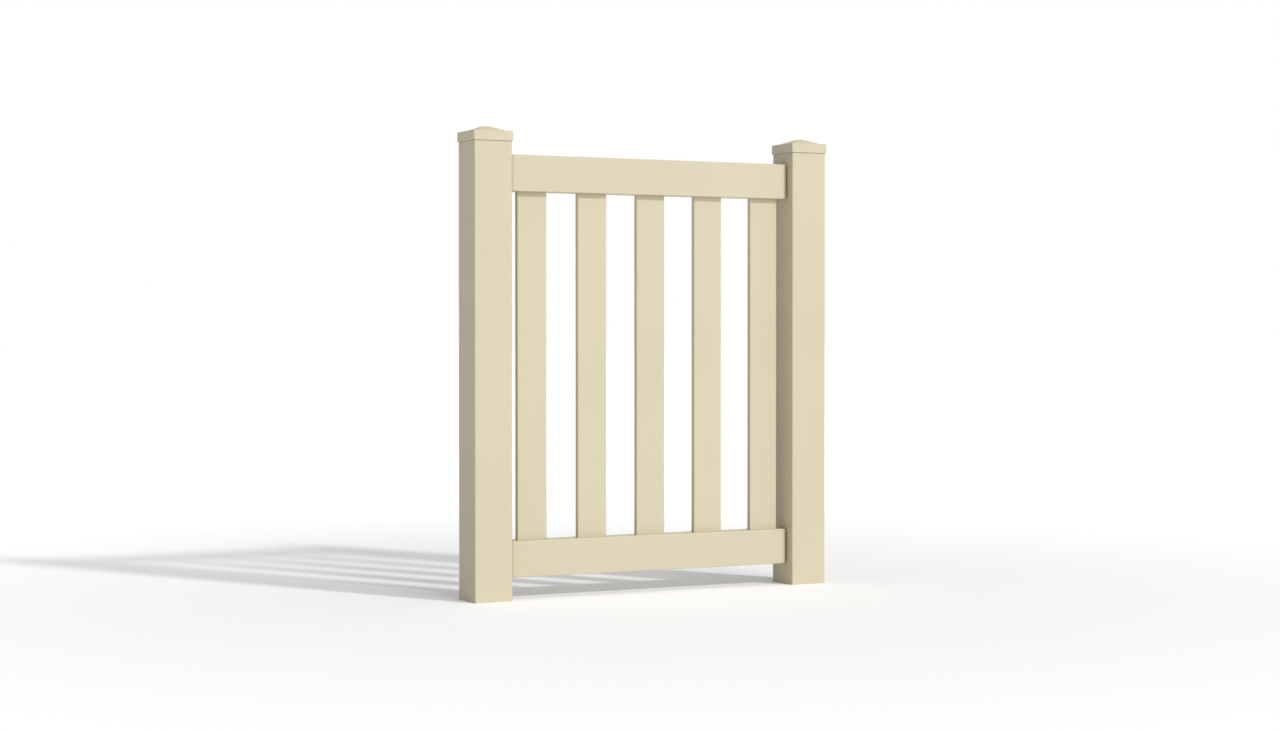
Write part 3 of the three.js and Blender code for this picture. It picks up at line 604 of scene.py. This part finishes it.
def build_leaf():
    for node in PICKETS:
        stand_for(tube("fine_" + node, "z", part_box(node), PICKET_WALL, PICKET_CORNER), node, VINYL_UPRIGHT)
    for rail, open_side in (("top_rail", -1), ("bottom_rail", 1)):
        build_rail(rail, open_side)
        build_plug(rail + "_plug_hinge_side", 1)
        build_plug(rail + "_plug_latch_side", -1)


# ---- Screws ----

SCREW_RADIUS = 2.1 * MM
THREAD_DEPTH = 0.35 * MM
THREAD_PITCH = 1.4 * MM
HEAD_RADIUS = 4.2 * MM
HEAD_HEIGHT = 2.4 * MM
SUNK_DEPTH = 2.2 * MM
SUNK_HOLE_DEPTH = 2.4 * MM
POINT_LENGTH = 3 * MM
RECESS_DEPTH = 1.7 * MM
HEAD_SIDES = 40


def shank(length, start):
    """The profile of a threaded shank, from the head down, with a drawn point."""
    rings = [(SCREW_RADIUS, -start)]
    along = start + THREAD_PITCH
    while along < length - POINT_LENGTH:
        rings.append((SCREW_RADIUS - THREAD_DEPTH, -along))
        rings.append((SCREW_RADIUS, -along - THREAD_PITCH / 2))
        along += THREAD_PITCH
    return rings + [(SCREW_RADIUS - THREAD_DEPTH, -length + POINT_LENGTH), (0.1 * MM, -length)]


def cross_recess(top, depth):
    """Two crossed tapering blades that cut a driver's recess."""
    blades = []
    for wide, narrow in ((2.3 * MM, 0.5 * MM), (0.5 * MM, 2.3 * MM)):
        mouth = rounded(wide, narrow, 0.3 * MM, 2)
        root = rounded(wide * 0.5, narrow * 0.5, 0.15 * MM, 2)
        blades.append(loft("blade", "y", (0, 0, 0), [(root, top - depth), (mouth, top + 0.3 * MM)]))
    return blades


def pan_screw(length):
    head = [(HEAD_RADIUS - 0.3 * MM, 0.3 * MM), (HEAD_RADIUS, 0.6 * MM)]
    head += [
        (HEAD_RADIUS * math.cos(a) ** 0.7, 0.6 * MM + (HEAD_HEIGHT - 0.6 * MM) * math.sin(a))
        for a in [math.radians(d) for d in (15, 30, 45, 58, 70, 80, 87)]
    ]
    profile = list(reversed(head)) + [(SCREW_RADIUS, 0.3 * MM)] + shank(length, 0.3 * MM)
    return carve(lathe("screw", "y", (0, 0, 0), profile, HEAD_SIDES), *cross_recess(HEAD_HEIGHT, RECESS_DEPTH))


def sunk_screw(length):
    profile = [(HEAD_RADIUS - 0.5 * MM, 0), (HEAD_RADIUS - 0.2 * MM, -0.15 * MM), (SCREW_RADIUS, -SUNK_DEPTH)]
    profile += shank(length, SUNK_DEPTH)
    return carve(lathe("screw", "y", (0, 0, 0), profile, HEAD_SIDES), *cross_recess(0.0, RECESS_DEPTH))


def drive_screws(make, nodes, head, turn):
    """Sets one kind of screw in the place of each node. Its head is at one end of the node's box, and turn takes
    the screw's own +Y, which points out of the head, to the way that the head faces."""
    pattern = None
    for number, node in enumerate(nodes):
        low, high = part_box(node)
        if pattern is None:
            pattern = make(max(high - low) - (HEAD_HEIGHT if make is pan_screw else 0.0))
        place = head(low, high)
        spin = Matrix.Rotation(math.radians(37.0 * number + 12.0), 4, "Y")
        mesh = pattern.data.copy()
        mesh.transform(Matrix.Translation(place) @ Matrix.Rotation(turn, 4, "Z") @ spin)
        piece = bpy.data.objects.new("fine_" + node, mesh)
        scene.collection.objects.link(piece)
        stand_for(piece, node, STAINLESS)
    bpy.data.objects.remove(pattern)


def build_screws():
    rear = [screw for screws in REAR_SCREWS.values() for screw in screws]
    straps = [screw for screw in rear if "strap" in screw]
    plates = [screw for screw in rear if "strap" not in screw]

    def pan_place(low, high):
        return Vector(((low.x + high.x) / 2, high.y - HEAD_HEIGHT, (low.z + high.z) / 2))

    drive_screws(pan_screw, straps, pan_place, 0.0)
    drive_screws(pan_screw, plates, pan_place, 0.0)
    posts = [f"{hinge}_post_screw_{i}" for hinge in ("top_hinge", "bottom_hinge") for i in (1, 2, 3, 4)]
    strikes = [f"strike_plate_screw_{i}" for i in (1, 2)]

    def low_place(low, high):
        return Vector((low.x, (low.y + high.y) / 2, (low.z + high.z) / 2))

    def high_place(low, high):
        return Vector((high.x, (low.y + high.y) / 2, (low.z + high.z) / 2))

    drive_screws(sunk_screw, posts, low_place, math.pi / 2)
    drive_screws(sunk_screw, strikes, high_place, -math.pi / 2)


def sunk_hole(axis, centre, face, side):
    """A countersunk hole in a plate whose face is at a place on the axis and looks by side."""
    mouth = HEAD_RADIUS + 0.1 * MM
    profile = [(mouth, face + side * MM), (mouth, face), (SCREW_HOLE, face - side * SUNK_HOLE_DEPTH)]
    profile.append((SCREW_HOLE, face - side * 6 * MM))
    return lathe("hole", axis, centre, profile, HEAD_SIDES)


# ---- Hinges ----

HINGE_PLATE = 2.5 * MM
STRAP_PLATE = 3 * MM
KNUCKLE_RADIUS = 7 * MM
KNUCKLE_BORE = 4.3 * MM
KNUCKLE_HALF = 13 * MM  # the strap's, in the middle of the hinge
POST_KNUCKLE = 20 * MM
PLATE_DISTANCE = 7.2 * MM  # from the hinge's axis to the back of either plate
NOTCH = 8.2 * MM  # from the axis to the plates' edges beside a knuckle
STRAP_WIDE = 30 * MM
STRAP_NARROW = 12 * MM
STRAP_SHOULDER = 18 * MM
PLATE_EASE = 0.6 * MM
PIN_RADIUS = 4 * MM
PIN_HEAD_HEIGHT = 3.9 * MM
PIN_HEAD_EDGE = 1.2 * MM  # the straight side under the head's dome


def rolled_eye(plate, tongue, quarter_turns):
    """The section of a plate that is rolled round the pin: it comes in along u from the left, below the axis, and
    its end stops short of the plate with a seam. quarter_turns carry it round the axis."""
    back = -PLATE_DISTANCE + 0.05 * MM
    front = -PLATE_DISTANCE + plate - 0.05 * MM
    outline = [(-tongue, back)] + arc(0, 0, KNUCKLE_RADIUS, -90, 204, 28)
    outline += arc(0, 0, KNUCKLE_BORE, 204, -110, 28) + [(-tongue, front)]
    for _ in range(quarter_turns):
        outline = [(-v, u) for u, v in outline]
    return outline


def build_strap(node, pivot):
    low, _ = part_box(node)
    root = pivot.x - NOTCH
    tip = low.x + STRAP_NARROW
    back = pivot.y - PLATE_DISTANCE
    outline = [(root, -STRAP_WIDE), (root, STRAP_WIDE), (root - STRAP_SHOULDER, STRAP_WIDE)]
    outline += arc(tip, 0, STRAP_NARROW, 97, 263, 20) + [(root - STRAP_SHOULDER, -STRAP_WIDE)]
    plate = bar("fine_" + node, "y", (0, 0, pivot.z), outline, back, back + STRAP_PLATE, PLATE_EASE)
    eye = rolled_eye(STRAP_PLATE, NOTCH + 4 * MM, 0)
    knuckle = bar("eye", "z", pivot, eye, -KNUCKLE_HALF, KNUCKLE_HALF, 0.4 * MM)
    holes = []
    for i in (1, 2, 3):
        at = middle_of(f"{node}_screw_{i}")
        holes.append(pin_hole("y", (at.x, 0, at.z), SCREW_HOLE, back - MM, back + STRAP_PLATE + MM))
    stand_for(carve(join(plate, knuckle), *holes), node, BLACK)


def build_post_leaf(hinge, pivot):
    node = hinge + "_post_leaf"
    low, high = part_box(node)
    half = (high.z - low.z) / 2
    front, rear = low.y, pivot.y - NOTCH
    outline = [(y + (front + rear) / 2, z) for y, z in rounded((rear - front) / 2, half, 3 * MM)]
    plate = bar("fine_" + node, "x", (0, 0, pivot.z), outline, high.x - HINGE_PLATE, high.x, PLATE_EASE)
    eye = rolled_eye(HINGE_PLATE, NOTCH + 4 * MM, 1)
    knuckles = [
        bar("eye", "z", pivot, eye, start, start + POST_KNUCKLE, 0.4 * MM) for start in (-half, half - POST_KNUCKLE)
    ]
    holes = []
    for i in (1, 2, 3, 4):
        at = middle_of(f"{hinge}_post_screw_{i}")
        holes.append(sunk_hole("x", (0, at.y, at.z), high.x - HINGE_PLATE, -1))
    stand_for(carve(join(plate, *knuckles), *holes), node, BLACK)


def build_pin(node, pivot):
    low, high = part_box(node)
    radius = PIN_RADIUS
    head = (high.x - low.x) / 2
    seat = high.z - PIN_HEAD_HEIGHT
    profile = [(0.6 * MM, low.z), (radius - MM, low.z), (radius, low.z + MM), (radius, seat)]
    profile += [(head - 0.3 * MM, seat), (head, seat + 0.3 * MM), (head, seat + PIN_HEAD_EDGE)]
    dome = high.z - seat - PIN_HEAD_EDGE
    for degrees in (15, 30, 45, 60, 75, 85):
        angle = math.radians(degrees)
        profile.append((head * math.cos(angle), seat + PIN_HEAD_EDGE + dome * math.sin(angle)))
    stand_for(lathe("fine_" + node, "z", (pivot.x, pivot.y, 0), profile), node, STAINLESS)


def build_washer(node, pivot):
    low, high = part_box(node)
    outer = (high.x - low.x) / 2
    ease = 0.25 * MM
    profile = [
        (KNUCKLE_BORE, low.z), (outer - ease, low.z), (outer, low.z + ease), (outer, high.z - ease),
        (outer - ease, high.z), (KNUCKLE_BORE, high.z),
    ]
    stand_for(lathe("fine_" + node, "z", (pivot.x, pivot.y, 0), profile, closed=True), node, NYLON)


def build_hinges():
    for hinge in ("top_hinge", "bottom_hinge"):
        pin = middle_of(hinge + "_pin")
        pivot = Vector((pin.x, pin.y, middle_of(hinge + "_post_leaf").z))
        build_strap(hinge + "_strap", pivot)
        build_post_leaf(hinge, pivot)
        build_pin(hinge + "_pin", pivot)
        build_washer(hinge + "_washer_lower", pivot)
        build_washer(hinge + "_washer_upper", pivot)


# ---- Slide bolt and strike plate ----

BOLT_PLATE = 2.5 * MM
LOOP_OUTER = 9 * MM
LOOP_BORE = 6.5 * MM
LOOP_WIDTH = 12 * MM
LOOP_PITCH = 52 * MM
STRIKE = 2 * MM
STRIKE_HOLE = 8 * MM
STRIKE_BEND = 2.4 * MM
BOLT_ROUND = 2.4 * MM
KNOB_STEM = 4.5 * MM
KNOB_SPIGOT = 1.9 * MM


def build_bolt_plate():
    low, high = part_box("bolt_plate")
    rod_low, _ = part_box("bolt_rod")
    axis = middle_of("bolt_rod")
    outline = [
        (x + (low.x + high.x) / 2, z) for x, z in rounded((high.x - low.x) / 2, (high.z - low.z) / 2, 3 * MM)
    ]
    plate = bar("fine_bolt_plate", "y", (0, 0, axis.z), outline, low.y, low.y + BOLT_PLATE, PLATE_EASE)
    foot = low.y + MM - axis.y
    arch = [(foot, -LOOP_OUTER)] + arc(0, 0, LOOP_OUTER, -90, 90, 24) + [(foot, LOOP_OUTER), (foot, LOOP_BORE)]
    arch += arc(0, 0, LOOP_BORE, 90, -90, 24) + [(foot, -LOOP_BORE)]
    loops = [
        bar("loop", "x", (0, axis.y, axis.z), arch, start, start + LOOP_WIDTH, 0.5 * MM)
        for start in (rod_low.x, rod_low.x + LOOP_PITCH)
    ]
    holes = []
    for i in (1, 2, 3, 4):
        at = middle_of(f"bolt_plate_screw_{i}")
        holes.append(pin_hole("y", (at.x, 0, at.z), SCREW_HOLE, low.y - MM, low.y + BOLT_PLATE + MM))
    stand_for(carve(join(plate, *loops), *holes), "bolt_plate", BLACK)


def build_bolt():
    low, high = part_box("bolt_rod")
    radius = (high.z - low.z) / 2
    profile = [(radius - BOLT_ROUND, low.x)]
    profile += [
        (radius - BOLT_ROUND + BOLT_ROUND * math.sin(a), low.x + BOLT_ROUND * (1 - math.cos(a)))
        for a in [math.radians(d) for d in (30, 60, 90)]
    ]
    profile += [(radius, high.x - MM), (radius - 0.3 * MM, high.x - 0.3 * MM), (radius - MM, high.x)]
    axis = middle_of("bolt_rod")
    stand_for(lathe("fine_bolt_rod", "x", (0, axis.y, axis.z), profile), "bolt_rod", BLACK)
    low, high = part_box("bolt_knob")
    stem = KNOB_STEM
    head = (high.x - low.x) / 2
    top = high.y
    foot = axis.y + radius
    profile = [
        (KNOB_SPIGOT, low.y),
        (KNOB_SPIGOT, foot + 0.3 * MM),
        (stem, foot + 0.3 * MM),
        (stem - 0.2 * MM, foot + MM),
        (stem - 0.7 * MM, foot + 3 * MM),
        (stem - 0.4 * MM, foot + 4.6 * MM),
        (head - 1.2 * MM, foot + 6 * MM),
        (head - 0.3 * MM, foot + 6.7 * MM),
        (head, foot + 7.5 * MM),
        (head, top - 2.2 * MM),
        (head - 0.4 * MM, top - 1.3 * MM),
        (head - 1.5 * MM, top - 0.6 * MM),
        (head - 3.5 * MM, top - 0.15 * MM),
        (MM, top),
    ]
    knob = middle_of("bolt_knob")
    stand_for(lathe("fine_bolt_knob", "y", (knob.x, 0, knob.z), profile), "bolt_knob", BLACK)


def build_strike_plate():
    low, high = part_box("strike_plate")
    face = low.x + STRIKE
    inner = STRIKE_BEND - STRIKE
    section = [(high.x, low.y), (high.x, low.y + STRIKE)]
    section += arc(face + inner, low.y + STRIKE + inner, inner, 270, 180, 4)
    section += [(face, high.y), (low.x, high.y)]
    section += arc(low.x + STRIKE_BEND, low.y + STRIKE_BEND, STRIKE_BEND, 180, 270, 8)
    plate = bar("fine_strike_plate", "z", (0, 0, 0), section, low.z, high.z, 0.4 * MM)
    axis = middle_of("bolt_rod")
    square = rounded(STRIKE_HOLE, STRIKE_HOLE, MM)
    tools = [loft("hole", "x", (0, axis.y, axis.z), [(square, low.x - MM), (square, face + MM)])]
    for i in (1, 2):
        at = middle_of(f"strike_plate_screw_{i}")
        tools.append(sunk_hole("x", (0, at.y, at.z), face, 1))
    stand_for(carve(plate, *tools), "strike_plate", BLACK)


# ---- The hidden pieces keep their CAD shape ----

HIDDEN = {"anchor": GALVANISED, "collar": COLLAR, "stiffener": ALUMINIUM}


def finish_hidden():
    for node, piece in frame["nodes"].items():
        for word, finish in HIDDEN.items():
            if word in node:
                piece.data.materials.clear()
                piece.data.materials.append(finish)


def make_floor():
    half = FLOOR_HALF
    floor = solid("floor", [(-half, -half, 0), (half, -half, 0), (half, half, 0), (-half, half, 0)], [(0, 1, 2, 3)])
    floor.data.materials.append(floor_finish())


make_camera()
make_lights()
make_world()
make_floor()
build_posts()
build_leaf()
build_screws()
build_hinges()
build_bolt_plate()
build_bolt()
build_strike_plate()
finish_hidden()
scene.view_settings.view_transform = "Standard"
